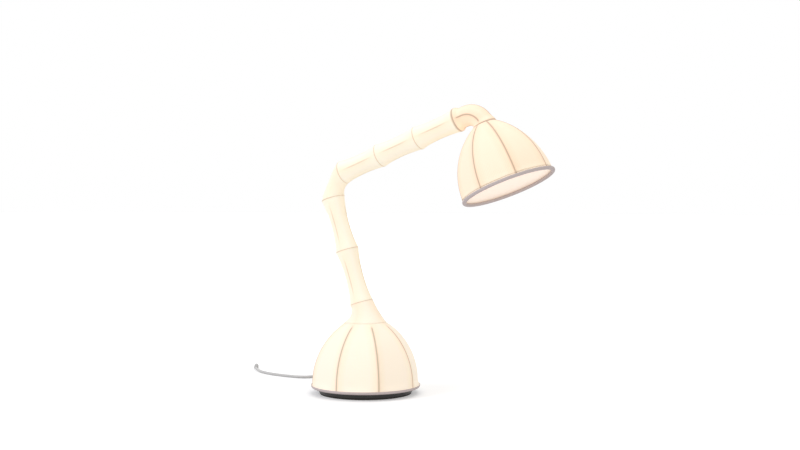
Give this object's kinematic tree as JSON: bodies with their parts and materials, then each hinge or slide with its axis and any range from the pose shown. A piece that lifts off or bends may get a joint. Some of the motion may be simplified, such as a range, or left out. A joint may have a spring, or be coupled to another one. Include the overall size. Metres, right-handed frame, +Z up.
{
  "type": "accordion desk lamp",
  "caption": "Glowing desk lamp of knit fabric stretched over a wire frame, with a domed weighted base, a jointed stem and arm, and a domed shade that swivels.",
  "frame": {"origin": "centre of the underside of the foot, on the table", "axes": "+Z up; +X towards the shade, in the plane of the stem and the arm; +Y to the left of someone who looks along +X"},
  "size_m": [0.7493, 0.2792, 0.5225],
  "materials": {
    "knit": "warm cream warp knit, stretched, lit from inside",
    "wire": "spring steel wire with a taupe powder coat",
    "rim_wire": "steel wire with a pale grey powder coat",
    "hinge_metal": "die cast, as cast",
    "pin_steel": "turned",
    "opal_globe": "opal polycarbonate",
    "opal_tube": "opal acrylic rod",
    "lampholder": "moulded",
    "driver_case": "moulded",
    "pad_rubber": "matte",
    "ballast": "steel with a black powder coat",
    "diffuser": "opal acrylic sheet",
    "cord_jacket": "PVC",
    "plug_body": "moulded PVC with a nickel barrel",
    "relief": "moulded PVC"
  },
  "bodies": {
    "base": {"foot_pad": "pad_rubber", "ballast_disc": "ballast", "base_rim_hoop": "rim_wire", "base_rib_1": "wire", "base_rib_2": "wire", "base_rib_3": "wire", "base_rib_4": "wire", "base_rib_5": "wire", "base_rib_6": "wire", "base_rib_7": "wire", "base_rib_8": "wire", "base_crown_hoop": "wire", "base_cover": "knit", "driver_box": "driver_case", "base_lampholder": "lampholder", "base_globe": "opal_globe", "strain_relief": "relief", "neck_fork": "hinge_metal", "neck_pin": "pin_steel", "cord_lead": "cord_jacket", "cord_coil": "cord_jacket", "cord_tail": "cord_jacket", "power_plug": "plug_body"},
    "stem": {"stem_foot": "hinge_metal", "stem_hoop_1": "wire", "stem_hoop_2": "wire", "stem_hoop_3": "wire", "stem_rails": "wire", "stem_light_tube": "opal_tube", "stem_cover": "knit", "neck_sleeve": "knit", "elbow_fork": "hinge_metal", "elbow_pin": "pin_steel"},
    "arm": {"arm_tail": "hinge_metal", "arm_hoop_1": "wire", "arm_hoop_2": "wire", "arm_hoop_3": "wire", "arm_rails": "wire", "arm_light_tube": "opal_tube", "arm_cover": "knit", "elbow_sleeve": "knit", "swivel_shaft": "pin_steel"},
    "head": {"head_hoop": "wire", "swivel_hub": "hinge_metal", "bend_rails": "wire", "bend_cover": "knit", "shade_crown_hoop": "wire", "shade_rib_1": "wire", "shade_rib_2": "wire", "shade_rib_3": "wire", "shade_rib_4": "wire", "shade_rib_5": "wire", "shade_rib_6": "wire", "shade_rib_7": "wire", "shade_rib_8": "wire", "shade_rim_hoop": "rim_wire", "shade_cover": "knit", "shade_lampholder": "lampholder", "shade_globe": "opal_globe", "diffuser": "diffuser"}
  },
  "joints": [
    {"name": "neck_tilt", "type": "hinge", "parent": "base", "child": "stem", "pos_m": [0, 0, 0.13945], "axis": [0, 1, 0], "range_deg": [-12, 20], "deforming": ["neck_sleeve"]},
    {"name": "elbow", "type": "hinge", "parent": "stem", "child": "arm", "pos_m": [-0.06863, 0, 0.38736], "axis": [0, 1, 0], "range_deg": [-40, 30], "deforming": ["elbow_sleeve"]},
    {"name": "head_swivel", "type": "hinge", "parent": "arm", "child": "head", "pos_m": [0.19085, 0, 0.49652], "axis": [0.9361, 0, 0.3518], "range_deg": [-45, 45]}
  ]
}
